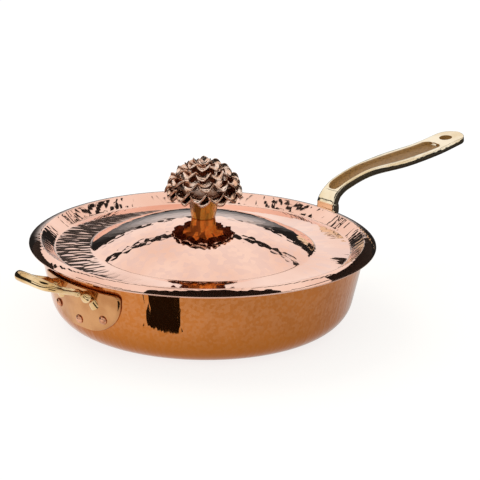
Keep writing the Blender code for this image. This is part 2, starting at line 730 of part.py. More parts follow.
def build_all():
    clear_scene()
    copper = make_material("hammered_copper", (0.78, 0.41, 0.22), 0.20)
    lid_copper = make_material("polished_copper", (0.84, 0.50, 0.34), 0.14)
    cast_copper = make_material("cast_copper", (0.52, 0.25, 0.13), 0.28)
    rivet_copper = make_material("rivet_copper", (0.72, 0.38, 0.22), 0.25)
    brass = make_material("cast_brass", (0.80, 0.62, 0.34), 0.18)
    lid_axis = add_empty("lid_lift_axis", (0, 0, PAN_HEIGHT + CLEARANCE))
    envelope = build_envelope()
    handle_rivets = place_rivets(
        "long_handle_rivet", 0, FLANGE_WIDTH / 2 - FLANGE_RIVET_MARGIN,
        FLANGE_FOOT + FLANGE_RIVET_RISE, FLANGE_FOOT + FLANGE_LOW_RIVET_RISE, FLANGE_THICKNESS,
    )
    helper_rivets = place_rivets(
        "helper_handle_rivet", math.pi, PLATE_WIDTH / 2 - PLATE_RIVET_MARGIN,
        PLATE_FOOT + PLATE_RIVET_RISE, PLATE_FOOT + PLATE_LOW_RIVET_RISE, PLATE_THICKNESS,
    )
    build_pan_body(copper, handle_rivets + helper_rivets)
    build_long_handle(brass, envelope, handle_rivets)
    build_helper_handle(brass, envelope, helper_rivets)
    for rivet in handle_rivets + helper_rivets:
        build_rivet(rivet, rivet_copper)
    build_lid(lid_copper, lid_axis)
    build_finial(cast_copper, lid_axis)
    build_fastener(brass, lid_axis)


build_all()
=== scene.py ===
from math import asin, cos, pi, radians, sin, sqrt, tan, tau

import bmesh
import bpy
from mathutils import Matrix, Vector


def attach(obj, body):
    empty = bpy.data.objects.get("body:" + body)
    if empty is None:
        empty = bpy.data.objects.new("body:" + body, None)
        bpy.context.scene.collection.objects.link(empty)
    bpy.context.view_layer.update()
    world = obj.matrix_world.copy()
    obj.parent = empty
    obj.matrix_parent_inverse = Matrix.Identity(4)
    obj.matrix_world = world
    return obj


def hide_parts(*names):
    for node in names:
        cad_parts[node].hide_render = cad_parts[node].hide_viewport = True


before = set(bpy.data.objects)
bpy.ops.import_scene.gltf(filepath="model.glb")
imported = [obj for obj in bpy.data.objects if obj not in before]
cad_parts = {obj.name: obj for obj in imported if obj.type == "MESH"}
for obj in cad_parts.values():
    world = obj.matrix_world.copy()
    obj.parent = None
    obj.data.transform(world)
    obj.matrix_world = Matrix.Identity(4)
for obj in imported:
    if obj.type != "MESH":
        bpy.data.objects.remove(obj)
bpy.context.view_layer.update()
print("frame loaded")


# small tools

def addNode(tree, kind, inputs=None, **settings):
    node = tree.nodes.new(kind)
    for key, value in settings.items():
        setattr(node, key, value)
    for key, value in (inputs or {}).items():
        socket = node.inputs[key]
        if isinstance(value, bpy.types.NodeSocket):
            tree.links.new(value, socket)
        else:
            socket.default_value = value
    return node


def joinNode(kind, inputs, **settings):  # goes into the tree that its inputs come from
    trees = [value.id_data for value in inputs.values() if isinstance(value, bpy.types.NodeSocket)]
    return addNode(trees[0], kind, inputs, **settings)


def mathNode(operation, first, second=0.0, clamp=False):
    inputs = {0: first, 1: second}
    return joinNode("ShaderNodeMath", inputs, operation=operation, use_clamp=clamp).outputs[0]


def product(first, *others):
    for other in others:
        first = mathNode("MULTIPLY", first, other)
    return first


def difference(first, second):
    return mathNode("SUBTRACT", first, second)


def largest(first, second):
    return mathNode("MAXIMUM", first, second)


def mixValue(factor, first, second):
    return joinNode("ShaderNodeMix", {0: factor, 2: first, 3: second}).outputs[0]


def mixColour(factor, first, second):
    first, second = [(*value, 1) if isinstance(value, tuple) else value for value in (first, second)]
    return joinNode("ShaderNodeMix", {0: factor, 6: first, 7: second}, data_type="RGBA").outputs[2]


def vectorNode(operation, inputs):
    node = joinNode("ShaderNodeVectorMath", inputs, operation=operation)
    return node.outputs["Value" if operation in ("LENGTH", "DOT_PRODUCT") else "Vector"]


def splitVector(vector):
    return joinNode("ShaderNodeSeparateXYZ", {0: vector}).outputs


def objectPlace(tree):
    return addNode(tree, "ShaderNodeTexCoord").outputs["Object"]


def flatPlace(tree):  # the place without its height, its distance from the axis, and the height
    x, y, height = splitVector(objectPlace(tree))
    flat = joinNode("ShaderNodeCombineXYZ", {0: x, 1: y}).outputs[0]
    return flat, vectorNode("LENGTH", {0: flat}), height


def noiseNode(place, scale, detail):
    return joinNode("ShaderNodeTexNoise", {"Vector": place, "Scale": scale, "Detail": detail}).outputs[0]


def ramp(value, low, high, start=0.0, end=1.0):
    names = {"Value": value, "From Min": low, "From Max": high, "To Min": start, "To Max": end}
    return joinNode("ShaderNodeMapRange", names, interpolation_type="SMOOTHSTEP").outputs[0]


def smoothValue(values, position):  # a smooth curve through evenly numbered values
    index = min(int(position), len(values) - 2)
    t = position - index
    p1, p2 = values[index], values[index + 1]
    p0 = values[index - 1] if index > 0 else p1
    p3 = values[index + 2] if index + 2 < len(values) else p2
    slope1, slope2 = (p2 - p0) / 2, (p3 - p1) / 2
    return ((2 * t**3 - 3 * t**2 + 1) * p1 + (t**3 - 2 * t**2 + t) * slope1
            + (3 * t**2 - 2 * t**3) * p2 + (t**3 - t**2) * slope2)


def heading(place, position, last, step=0.02):  # the way ahead on a curve
    return (place(min(position + step, last)) - place(max(position - step, 0))).normalized()


def spaced(start, end, steps):  # even steps from start to end
    return [start + (end - start) * step / steps for step in range(steps + 1)]


def arc(centre, radius, start, end, steps):
    return [(centre[0] + radius * cos(a), centre[1] + radius * sin(a)) for a in spaced(start, end, steps)]


def fillet(before, corner, after, radius, steps):
    corner = Vector(corner)
    back = (Vector(before) - corner).normalized()
    ahead = (Vector(after) - corner).normalized()
    half = back.angle(ahead) / 2
    centre = corner + (back + ahead).normalized() * (radius / sin(half))
    first = corner + back * (radius / tan(half)) - centre
    last = corner + ahead * (radius / tan(half)) - centre
    turn = first.angle_signed(last)
    return [tuple(centre + Matrix.Rotation(part, 2) @ first) for part in spaced(0, -turn, steps)]


def offsetLine(points, distance):
    shifted = []
    for index, point in enumerate(points):
        here = Vector(point)
        before = Vector(points[max(index - 1, 0)])
        after = Vector(points[min(index + 1, len(points) - 1)])
        ways = [way.normalized() for way in (here - before, after - here) if way.length > 0]
        normals = [Vector((-way.y, way.x)) for way in ways]
        normal = sum(normals, Vector((0, 0))).normalized()
        shifted.append(tuple(here + normal * (distance / normal.dot(normals[0]))))
    return shifted


def lathe(outline, steps, slots=None, closed=False):  # spins (radius, height) points round Z
    bm = bmesh.new()
    turns = spaced(0, tau, steps)[:-1]
    rings = []
    for radius, height in outline:
        if radius < 1e-7:
            rings.append([bm.verts.new((0, 0, height))] * steps)
            continue
        rings.append([bm.verts.new((radius * cos(a), radius * sin(a), height)) for a in turns])
    pairs = list(zip(rings, rings[1:])) + ([(rings[-1], rings[0])] if closed else [])
    for number, (ring, following) in enumerate(pairs):
        for step in range(steps):
            after = (step + 1) % steps
            corners = []
            for vert in (ring[step], ring[after], following[after], following[step]):
                if vert not in corners:
                    corners.append(vert)
            if len(corners) > 2:
                face = bm.faces.new(corners)
                face.material_index = slots[number] if slots else 0
    return bm


def loft(bm, rings):
    made = [[bm.verts.new(point) for point in ring] for ring in rings]
    count = len(made[0])
    for ring, following in zip(made, made[1:]):
        for index in range(count):
            after = (index + 1) % count
            bm.faces.new((ring[index], ring[after], following[after], following[index]))
    for ring in (made[0][::-1], made[-1]):
        for index in range(count // 2 - 1):
            bm.faces.new((ring[index], ring[index + 1], ring[-2 - index], ring[-1 - index]))


def linkObject(name, data):
    thing = bpy.data.objects.new(name, data)
    bpy.context.scene.collection.objects.link(thing)
    return thing


def meshObject(name, bm):
    mesh = bpy.data.meshes.new(name)
    bm.to_mesh(mesh)
    bm.free()
    return linkObject(name, mesh)


def addPiece(name, bm, body, nodes, materials):
    if bm.calc_volume(signed=True) < 0:
        bmesh.ops.reverse_faces(bm, faces=bm.faces)
    piece = meshObject(name, bm)
    for material in materials:
        piece.data.materials.append(material)
    piece.data.shade_smooth()
    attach(piece, body)
    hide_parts(*nodes)
    return piece


def applyModifiers(piece):
    graph = bpy.context.evaluated_depsgraph_get()
    mesh = bpy.data.meshes.new_from_object(piece.evaluated_get(graph))
    piece.modifiers.clear()
    piece.data = mesh


# shared surface effects, one node group each

effects = {
    "roundSoftness": 0.25, "roundDisorder": 0.85, "facetSoftness": 0.2, "facetDisorder": 0.8,
    "driftRange": (0.35, 0.68), "speckFineness": 14.0, "speckRange": (0.55, 0.8),
    "pitFineness": 0.45, "pitRange": (0.05, 0.35), "pitDepth": 0.5,
}


def newGroup(name, inputs, outputs):
    tree = bpy.data.node_groups.new(name, "ShaderNodeTree")
    for way, labels in (("INPUT", inputs), ("OUTPUT", outputs)):
        for label in labels:
            kind = "NodeSocketColor" if label in ("Light", "Deep", "Color") else "NodeSocketFloat"
            tree.interface.new_socket(label, in_out=way, socket_type=kind)
    return tree, addNode(tree, "NodeGroupInput").outputs, addNode(tree, "NodeGroupOutput").inputs


def endWithCells(tree, out, place, scale, smoothness, randomness):  # cupped cells and a number for each
    inputs = {"Vector": place, "Scale": scale, "Smoothness": smoothness, "Randomness": randomness}
    cells = addNode(tree, "ShaderNodeTexVoronoi", inputs, feature="SMOOTH_F1").outputs
    tree.links.new(mathNode("POWER", cells["Distance"], 2.0), out["Height"])
    tree.links.new(splitVector(cells["Color"])[0], out["Cell"])
    return tree


def buildRoundMarks():  # hammer strokes laid in rows round the pan's axis
    tree, given, out = newGroup("roundMarks", ("Around", "Rows", "Upright"), ("Height", "Cell"))
    flat, radius, height = flatPlace(tree)
    turn = vectorNode("NORMALIZE", {0: flat})
    ring = vectorNode("SCALE", {0: turn, "Scale": mathNode("DIVIDE", given["Around"], tau)})
    along = mixValue(given["Upright"], radius, height)
    lift = addNode(tree, "ShaderNodeCombineXYZ", {2: product(along, given["Rows"])}).outputs[0]
    place = vectorNode("ADD", {0: ring, 1: lift})
    return endWithCells(tree, out, place, 1.0, effects["roundSoftness"], effects["roundDisorder"])


def buildFacetMarks():  # even hammer facets, the same size everywhere
    tree, given, out = newGroup("facetMarks", ("Size",), ("Height", "Cell"))
    scale = mathNode("DIVIDE", 1.0, given["Size"])
    softness, disorder = effects["facetSoftness"], effects["facetDisorder"]
    return endWithCells(tree, out, objectPlace(tree), scale, softness, disorder)


def buildTintDrift():  # slow change of colour over a polished metal, with small specks
    tree, given, out = newGroup("tintDrift", ("Light", "Deep", "Size", "Specks"), ("Color", "Drift"))
    place = objectPlace(tree)
    scale = mathNode("DIVIDE", 1.0, given["Size"])
    drift = ramp(noiseNode(place, scale, 3.0), *effects["driftRange"])
    fine = noiseNode(place, product(scale, effects["speckFineness"]), 2.0)
    speck = product(ramp(fine, *effects["speckRange"]), given["Specks"])
    mixed = mixColour(drift, given["Light"], given["Deep"])
    tree.links.new(mixColour(speck, mixed, given["Deep"]), out["Color"])
    tree.links.new(drift, out["Drift"])
    return tree


def buildCastGrain():  # the pitted skin that a casting keeps where it isn't polished
    tree, given, out = newGroup("castGrain", ("Size",), ("Height", "Pits"))
    place = objectPlace(tree)
    scale = mathNode("DIVIDE", 1.0, given["Size"])
    grain = noiseNode(place, scale, 4.0)
    coarse = product(scale, effects["pitFineness"])
    holes = addNode(tree, "ShaderNodeTexVoronoi", {"Vector": place, "Scale": coarse}).outputs["Distance"]
    pits = ramp(holes, *effects["pitRange"])
    height = mathNode("ADD", grain, product(pits, effects["pitDepth"]))
    tree.links.new(height, out["Height"])
    tree.links.new(pits, out["Pits"])
    return tree


roundMarks = buildRoundMarks()
facetMarks = buildFacetMarks()
tintDrift = buildTintDrift()
castGrain = buildCastGrain()


def placeGroup(tree, group, **inputs):
    inputs = {key: (*value, 1) if isinstance(value, tuple) else value for key, value in inputs.items()}
    return addNode(tree, "ShaderNodeGroup", inputs, node_tree=group).outputs


def placeTint(tree, look):
    light, deep, size, specks = [look[key] for key in ("light", "deep", "tintSize", "specks")]
    return placeGroup(tree, tintDrift, Light=light, Deep=deep, Size=size, Specks=specks)


def placeMarks(tree, around, rows, upright=0.0):
    return placeGroup(tree, roundMarks, Around=around, Rows=rows, Upright=upright)


def makeMetal(name, look, paint):  # paint gives the colour, the dullness from 0 to 1 and the height
    material = bpy.data.materials.new(name)
    material.use_nodes = True
    tree = material.node_tree
    shader = tree.nodes["Principled BSDF"].inputs
    shader["Metallic"].default_value = look.get("metallic", 1.0)
    shader["Specular IOR Level"].default_value = look.get("specular", 0.5)
    colour, dullness, height = paint(tree, look)
    roughness = ramp(dullness, 0.0, look.get("dullest", 1.0), *look["roughness"])
    inputs = {"Height": height, "Distance": look["bump"], "Strength": 1.0}
    bump = joinNode("ShaderNodeBump", inputs).outputs[0]
    for label, output in (("Base Color", colour), ("Roughness", roughness), ("Normal", bump)):
        tree.links.new(output, shader[label])
    return material


def turnedRings(tree, look):  # fine rings round the axis
    rings = placeMarks(tree, look["around"], look["rows"])["Height"]
    return placeTint(tree, look)["Color"], rings, rings


# pan body: a flared wall on a rounded corner, hammered outside and tinned inside

pan = {
    "radius": 0.1439, "height": 0.0707, "wall": 0.002, "flare": radians(12), "corner": 0.0275,
    "steps": 312, "cornerSteps": 18, "wallSteps": 10, "lipSteps": 8,
    # painted shade: the outside copper is a darker, more orange copy of the lid's copper
    "light": (0.58, 0.195, 0.045), "deep": (0.50, 0.165, 0.038), "tintSize": 0.05, "specks": 0.25,
    "rosy": (0.64, 0.28, 0.12), "rosyShare": 0.40, "low": (0.44, 0.135, 0.016), "bottomShadeShare": 0.62,
    "roughness": (0.05, 0.11), "bump": 0.00018, "marksAround": 290.0, "markRows": 75.0,
    "fineAround": 360.0, "fineRows": 400.0, "streaks": (0.2, 0.8), "floorShares": (0, 0.25, 0.5, 0.75),
}


def wallRadius(height):
    return pan["radius"] - (pan["height"] - height) * tan(pan["flare"])


def rimCentre():
    half = pan["wall"] / 2
    return pan["radius"] - half * cos(pan["flare"]), pan["height"] + half * sin(pan["flare"])


def panOuterLine(cornerSteps, wallSteps):
    tangent = pan["corner"] * (1 - sin(pan["flare"]))
    base = wallRadius(tangent) - pan["corner"] * cos(pan["flare"])
    corner = arc((base, pan["corner"]), pan["corner"], -pi / 2, -pan["flare"], cornerSteps)
    rise = spaced(tangent, pan["height"], wallSteps)[1:]
    floor = [(base * share, 0) for share in pan["floorShares"]]
    return floor + corner + [(wallRadius(height), height) for height in rise]


def panCopper(tree, look):
    tint = placeTint(tree, look)
    marks = placeMarks(tree, look["marksAround"], look["markRows"], 1.0)
    fine = placeMarks(tree, look["fineAround"], look["fineRows"], 1.0)
    streak = product(ramp(fine["Cell"], *look["streaks"]), look["rosyShare"])
    shade = mixColour(streak, tint["Color"], look["rosy"])
    _, _, height = flatPlace(tree)
    # painted shade: the copper turns darker towards the bottom
    shade = mixColour(ramp(height, look["height"] * look["bottomShadeShare"], 0.0), shade, look["low"])
    return shade, tint["Drift"], marks["Height"]


lining = {
    "light": (0.78, 0.76, 0.72), "deep": (0.60, 0.58, 0.55), "tintSize": 0.02, "specks": 0.3,
    "around": 60.0, "rows": 900.0, "roughness": (0.22, 0.42), "dullest": 0.8, "bump": 0.00006,
}
tin = makeMetal("tinLining", lining, turnedRings)


def buildPan():
    outer = panOuterLine(pan["cornerSteps"], pan["wallSteps"])
    inner = offsetLine(outer, pan["wall"])
    lip = arc(rimCentre(), pan["wall"] / 2, -pan["flare"], pi - pan["flare"], pan["lipSteps"])
    line = outer + lip[1:-1] + inner[::-1]
    slots = [0 if number < len(outer) + pan["lipSteps"] - 1 else 1 for number in range(len(line) - 1)]
    bm = lathe(line, pan["steps"], slots)
    copper = makeMetal("panCopper", pan, panCopper)
    addPiece("panShell", bm, "pan", ["pan_body"], [copper, tin])


buildPan()
print("pan body")


# lid: a low dome, a sunk ledge and a rounded skirt that straddles the rim

lid = {
    "overhang": 0.0082, "sheet": 0.0015, "skirtWidth": 0.0102, "skirtBend": 0.0175,
    "skirtStart": radians(2), "slopeWidth": 0.0115, "wellDepth": 0.0090, "ledgeWidth": 0.0322,
    "domeRise": 0.0265, "ridgeFillet": 0.0026, "footFillet": 0.0040, "creaseFillet": 0.0060,
    "clearance": 0.0003, "steps": 312, "boreRadius": 0.0033,
    "filletSteps": 8, "skirtSteps": 16, "domeSteps": 34, "edgeTurns": (0.5, 1.05, 1.57, 2.1, 2.65),
    "light": (0.97, 0.64, 0.51), "deep": (0.88, 0.52, 0.39), "tintSize": 0.07, "specks": 0.15,
    # the grey mottle is painted reflection of the hammer marks
    "reflectionGrey": (0.80, 0.53, 0.46), "reflectionGreyShare": 0.5, "roughness": (0.02, 0.05),
    "facet": 0.0052, "strokesAround": 112.0, "strokeRows": 80.0, "raysAround": 170.0, "rayRows": 150.0,
    "bump": 0.001, "facetDepth": 0.11, "ledgeDepth": 0.08, "slopeDepth": 0.24, "skirtDepth": 0.12,
    "ledgeBlend": (-0.006, 0.004), "slopeBlend": (-0.003, 0.002), "skirtBlend": (-0.001, 0.002),
    "sideTurn": radians(-43.4), "sideShares": (0.72, 0.98), "calmShare": 0.25,
    "reflectionDashes": (0.55, 0.75), "mottle": (0.25, 0.85), "ledgeShares": (0.3, 0.6),
}


def skirtCentre():
    rimRadius, rimHeight = rimCentre()
    bend = lid["skirtBend"]
    radius = pan["radius"] + lid["overhang"] - lid["skirtWidth"] - bend * sin(lid["skirtStart"])
    toRim = bend - lid["sheet"] - lid["clearance"] - pan["wall"] / 2
    return radius, rimHeight - sqrt(toRim**2 - (rimRadius - radius) ** 2)


def lidRidge():
    radius, height = skirtCentre()
    bend, start = lid["skirtBend"], lid["skirtStart"]
    return radius + bend * sin(start), height + bend * cos(start)


def domeShape():
    ridgeRadius, ridgeHeight = lidRidge()
    foot = ridgeRadius - lid["slopeWidth"] - lid["ledgeWidth"]
    sphere = (foot**2 + lid["domeRise"] ** 2) / (2 * lid["domeRise"])
    return foot, sphere, ridgeHeight - lid["wellDepth"] + lid["domeRise"] - sphere


def domeHeight(radius):
    _, sphere, centre = domeShape()
    return centre + sqrt(sphere**2 - radius**2)


def lidTopLine():
    ridgeRadius, ridgeHeight = lidRidge()
    ledge = ridgeHeight - lid["wellDepth"]
    domeFoot, sphere, centre = domeShape()
    crease, foot = (domeFoot, ledge), (ridgeRadius - lid["slopeWidth"], ledge)
    centreRadius, centreHeight = skirtCentre()
    skirtEnd = asin((ridgeRadius + lid["skirtWidth"] - centreRadius) / lid["skirtBend"])
    skirt = arc((centreRadius, centreHeight), lid["skirtBend"],
                pi / 2 - lid["skirtStart"], pi / 2 - skirtEnd, lid["skirtSteps"])
    endAngle = asin(domeFoot / sphere)
    aboveCrease = (domeFoot - cos(endAngle), ledge + sin(endAngle))
    creaseBend = fillet(aboveCrease, crease, foot, lid["creaseFillet"], lid["filletSteps"])
    footBend = fillet(crease, foot, skirt[0], lid["footFillet"], lid["filletSteps"])
    ridgeBend = fillet(foot, skirt[0], skirt[2], lid["ridgeFillet"], lid["filletSteps"])
    holeAngle = asin(lid["boreRadius"] / sphere)
    domeEnd = asin(creaseBend[0][0] / sphere)
    dome = arc((0, centre), sphere, pi / 2 - holeAngle, pi / 2 - domeEnd, lid["domeSteps"])
    near, far = creaseBend[-1][0], footBend[0][0]
    middle = [(near + (far - near) * share, ledge) for share in lid["ledgeShares"]]
    return dome[:-1] + creaseBend + middle + footBend + ridgeBend + skirt[2:]


def lidCopper(tree, look):  # facets on the dome, strokes on the ledge, rays on the slope and the skirt
    _, radius, _ = flatPlace(tree)
    ridge, domeFoot = lidRidge()[0], domeShape()[0]

    def past(edge, blend):
        return ramp(radius, edge + blend[0], edge + blend[1])

    tint = placeTint(tree, look)
    facets = placeGroup(tree, facetMarks, Size=look["facet"])
    strokes = placeMarks(tree, look["strokesAround"], look["strokeRows"])
    rays = placeMarks(tree, look["raysAround"], look["rayRows"])
    onLedge = past(domeFoot, look["ledgeBlend"])
    onSlope = past(ridge - look["slopeWidth"], look["slopeBlend"])
    onSkirt = past(ridge, look["skirtBlend"])
    toSide = (cos(look["sideTurn"]), sin(look["sideTurn"]), 0)
    across = mathNode("ABSOLUTE", vectorNode("DOT_PRODUCT", {0: objectPlace(tree), 1: toSide}))
    calm, lively = [domeFoot * share for share in look["sideShares"]]
    atSides = ramp(across, calm, lively, look["calmShare"], 1.0)
    onDome = product(facets["Height"], look["facetDepth"])
    inner = mixValue(onLedge, onDome, product(strokes["Height"], look["ledgeDepth"], atSides))
    outer = product(rays["Height"], mixValue(onSkirt, look["slopeDepth"], look["skirtDepth"]))
    height = mixValue(onSlope, inner, outer)
    # painted reflection: grey mottle over the dome's facets and grey dashes over the ledge's strokes, the
    # dashes strongest left and right as seen from the camera
    reflectionDashes = product(ramp(strokes["Cell"], *look["reflectionDashes"]), atSides)
    mottle = mixValue(onLedge, ramp(facets["Cell"], *look["mottle"]), reflectionDashes)
    mottle = product(mottle, ramp(onSlope, 1.0, 0.0, 0.0, look["reflectionGreyShare"]))
    shade = mixColour(mottle, tint["Color"], look["reflectionGrey"])
    return shade, tint["Drift"], height


def buildLid():
    top = lidTopLine()
    under = offsetLine(top, -lid["sheet"])
    middle = (Vector(top[-1]) + Vector(under[-1])) / 2
    outward = (Vector(top[-1]) - Vector(top[-2])).normalized() * lid["sheet"] / 2
    turn = outward.orthogonal().normalized() * lid["sheet"] / 2
    if turn.dot(Vector(top[-1]) - middle) < 0:
        turn = -turn
    edge = [tuple(middle + outward * sin(a) + turn * cos(a)) for a in lid["edgeTurns"]]
    line = top + edge + under[::-1]
    slots = [0 if number < len(top) + len(edge) else 1 for number in range(len(line))]
    slots[-1] = 0
    bm = lathe(line, lid["steps"], slots, True)
    copper = makeMetal("lidCopper", lid, lidCopper)
    addPiece("lidSheet", bm, "lid_group", ["lid"], [copper, tin])


buildLid()
print("lid")


# rivets: domed heads outside and inside the wall

rivet = {
    "head": 0.0040, "rise": 0.0023, "shank": 0.0022, "steps": 28, "domeSteps": 7,
    "facetSag": 0.00027, "facet": 0.0026,
    "light": (0.80, 0.40, 0.24), "deep": (0.46, 0.19, 0.10), "tintSize": 0.004, "specks": 0.4,
    "roughness": (0.10, 0.24), "bump": 0.00025,
}
flange = {
    "width": 0.0700, "height": 0.0370, "thickness": 0.0035, "foot": 0.0240,
    "margin": 0.0130, "rise": 0.0180, "lowRise": 0.0070, "across": 30, "rows": 26,
}
plate = {
    "width": 0.1000, "height": 0.0390, "thickness": 0.0030, "foot": 0.0210,
    "margin": 0.0210, "rise": 0.0145, "lowRise": 0.0080, "across": 48, "rows": 34,
    "heightShares": (0.0, 0.020, 0.070, 0.17, 0.34, 0.60, 0.88, 0.965, 1.0),
    "widthShares": (0.16, 0.34, 0.49, 0.65, 0.81, 0.94, 1.0, 0.985, 0.94),
    "bevelShare": 0.6, "bevelRows": 9, "bevelStart": 0.94,
}


def rivetCopper(tree, look):
    facets = placeGroup(tree, facetMarks, Size=look["facet"])
    return placeTint(tree, look)["Color"], facets["Cell"], facets["Height"]


def wallFrame(angle, height):
    ahead = Vector((cos(angle), sin(angle), 0))
    side = Vector((-sin(angle), cos(angle), 0))
    out = ahead * cos(pan["flare"]) - Vector((0, 0, sin(pan["flare"])))
    place = ahead * wallRadius(height) + Vector((0, 0, height))
    return Matrix.Translation(place) @ Matrix((side, out.cross(side), out)).transposed().to_4x4()


def buildRivets(name, node, facing, sizes, material):
    spread = sizes["width"] / 2 - sizes["margin"]
    high, low = sizes["foot"] + sizes["rise"], sizes["foot"] + sizes["lowRise"]
    sideways = asin(spread / (wallRadius(high) + sizes["thickness"]))
    dome = (rivet["head"] ** 2 + rivet["rise"] ** 2) / (2 * rivet["rise"])
    edge = asin(rivet["head"] / dome)
    top = sizes["thickness"] + lid["clearance"] * 2
    bottom = -(pan["wall"] + lid["clearance"] + rivet["facetSag"])
    head = arc((0, top + rivet["rise"] - dome), dome, pi / 2, pi / 2 - edge, rivet["domeSteps"])
    tail = arc((0, bottom - rivet["rise"] + dome), dome, edge - pi / 2, -pi / 2, rivet["domeSteps"])
    shank = [(rivet["shank"], top), (rivet["shank"], bottom)]
    line = [(0, head[0][1])] + head[1:] + shank + tail[:-1] + [(0, tail[-1][1])]
    for number, (angle, level) in enumerate(((-sideways, high), (0, low), (sideways, high)), 1):
        bm = lathe(line, rivet["steps"])
        bmesh.ops.transform(bm, matrix=wallFrame(facing + angle, level), verts=bm.verts)
        addPiece(f"{name}{number}", bm, "pan", [f"{node}_{number}"], [material])


copperOfRivets = makeMetal("rivetCopper", rivet, rivetCopper)
buildRivets("longHandleRivet", "long_handle_rivet", 0, flange, copperOfRivets)
buildRivets("helperHandleRivet", "helper_handle_rivet", pi, plate, copperOfRivets)
print("rivets")


# cast brass of both handles, polished but for the long handle's groove and hole

brass = {
    "pale": {"light": (0.96, 0.82, 0.60), "deep": (0.82, 0.62, 0.36)},
    "rosy": {"light": (0.64, 0.33, 0.145), "deep": (0.46, 0.20, 0.075)},
    "golden": {"light": (0.92, 0.70, 0.42), "deep": (0.62, 0.37, 0.14)},
    "tintSize": 0.03, "specks": 0.2, "roughness": (0.05, 0.13), "waveScale": 90.0, "bump": 0.00035,
}
# rough cast skin of the groove and the hole's walls, darkened further as painted shade in these recesses
castSkinAndShade = {
    "grain": 0.0011, "dark": (0.048, 0.026, 0.013), "pale": (0.371, 0.187, 0.048), "metallic": 0.3,
    "specular": 0.2, "roughness": (0.5, 0.3), "bump": 0.00045, "paleRange": (0.3, 1.2),
}


def polished(tree, look):
    tint = placeTint(tree, look)
    return tint["Color"], tint["Drift"], noiseNode(objectPlace(tree), look["waveScale"], 1.0)


def roughCast(tree, look):
    grain = placeGroup(tree, castGrain, Size=look["grain"])
    shade = mixColour(ramp(grain["Height"], *look["paleRange"]), look["dark"], look["pale"])
    return shade, grain["Pits"], grain["Height"]


handleBrass = makeMetal("polishedBrass", brass | brass["pale"], polished)
plateBrass = makeMetal("rosyBrass", brass | brass["rosy"], polished)
loopBrass = makeMetal("loopBrass", brass | brass["golden"], polished)
grooveBrass = makeMetal("grooveBrass", castSkinAndShade, roughCast)


def plateRings(sizes):  # a plate bent round the wall, from its foot up
    across, rows = sizes["across"], sizes["rows"]
    rings = []
    for row in range(rows + 1):
        place = (len(plate["heightShares"]) - 1) * (1 - cos(pi * row / rows)) / 2
        level = sizes["foot"] + sizes["height"] * smoothValue(plate["heightShares"], place)
        back = wallRadius(level) + lid["clearance"]
        share = smoothValue(plate["widthShares"], place)
        fromEnd = min(row, rows - row) / rows
        edge = 1 - plate["bevelShare"] * max(0, 1 - fromEnd * plate["bevelRows"]) ** 2
        spread = sizes["width"] / 2 * share / (back + sizes["thickness"])
        turns = [-cos(turn) for turn in spaced(0, pi, across)]
        whole = [(spread * turn, back) for turn in turns[::-1]]
        for turn in turns:
            fromMiddle = max(0, abs(turn) - plate["bevelStart"]) / (1 - plate["bevelStart"])
            bevel = 1 - plate["bevelShare"] * fromMiddle**2
            whole.append((spread * turn, back + sizes["thickness"] * edge * bevel))
        rings.append([(r * cos(a), r * sin(a), level) for a, r in whole])
    return rings


# long handle: a cast bar with a bent neck, a long groove and a hanging hole

handle = {
    "length": 0.2015, "rise": 0.0640, "rootRise": 0.0260, "width": 0.0360, "depth": 0.0120,
    "tipRadius": 0.0155, "tipTurn": radians(88), "steps": 190, "tipSteps": 20,
    "holeRadius": 0.0064, "holeSetback": 0.0190, "softEdge": 0.0016, "skinMargin": 0.0014,
    "drillLength": 0.04, "drillSides": 64, "softSteps": 4, "softAngle": radians(60),
    "skinFacing": 0.96, "smoothAngle": radians(50),
    "reachShares": (-0.020, 0.032, 0.065, 0.067, 0.081, 0.108, 0.170, 0.320, 0.540, 0.760, 0.915, 1.0),
    "riseShares": (-0.030, 0.148, 0.297, 0.406, 0.500, 0.587, 0.688, 0.798, 0.838, 0.887, 0.960, 1.0),
    "widthShares": (0.76, 0.68, 0.61, 0.58, 0.55, 0.53, 0.56, 0.64, 0.955, 0.905, 0.87, 0.87),
    "depthShares": (1.0, 0.86, 0.73, 0.69, 0.65, 0.62, 0.60, 0.56, 0.52, 0.49, 0.48, 0.46),
    "grooveFloor": ((0, 1), (0.5, 1), (0.94, 1), (1, 0.93)), "grooveSide": ((0.97, 0.2), (1, 0.14)),
    "edgeShare": 0.9, "shoulderShare": 0.86, "shoulderWidth": 0.0008, "crown": 0.0001,
    "sideProfile": ((0.95, 0.02), (0.985, 0.06), (1, 0.14), (1, 0.54), (1, 0.89), (0.985, 0.95),
                    (0.95, 0.99), (0.88, 1), (0.45, 1), (0, 1)),
    "grooveDepth": 0.0026, "grooveOverhang": 0.0350, "grooveEdge": 0.0014, "grooveStartShare": 0.108,
    "grooveWidthShare": 0.60, "grooveFloorShare": 0.86, "grooveNarrowest": 0.04, "grooveMargin": 0.002,
    "grooveSteps": (0.0, 0.0008, 0.002, 0.0045, 0.008, 0.013, 0.019, 0.026, 0.034), "grooveColumns": 6,
    "grooveSlope": 12, "grooveFlat": 0.0005,
}


def handlePoint(position):
    root = flange["foot"] + handle["rootRise"]
    reach = wallRadius(root) + handle["length"] * smoothValue(handle["reachShares"], position)
    return Vector((reach, 0, root + handle["rise"] * smoothValue(handle["riseShares"], position)))


def handleFrame(position):
    ahead = heading(handlePoint, position, len(handle["reachShares"]) - 1)
    halfWidth = handle["width"] / 2 * smoothValue(handle["widthShares"], position)
    depth = handle["depth"] * smoothValue(handle["depthShares"], position)
    return handlePoint(position), Vector((-ahead.z, 0, ahead.x)), halfWidth, depth


def handlePosition(reachShare, tolerance=0.0004):
    low, high = 0, len(handle["reachShares"]) - 1
    while high - low > tolerance:
        middle = (low + high) / 2
        if smoothValue(handle["reachShares"], middle) < reachShare:
            low = middle
        else:
            high = middle
    return low


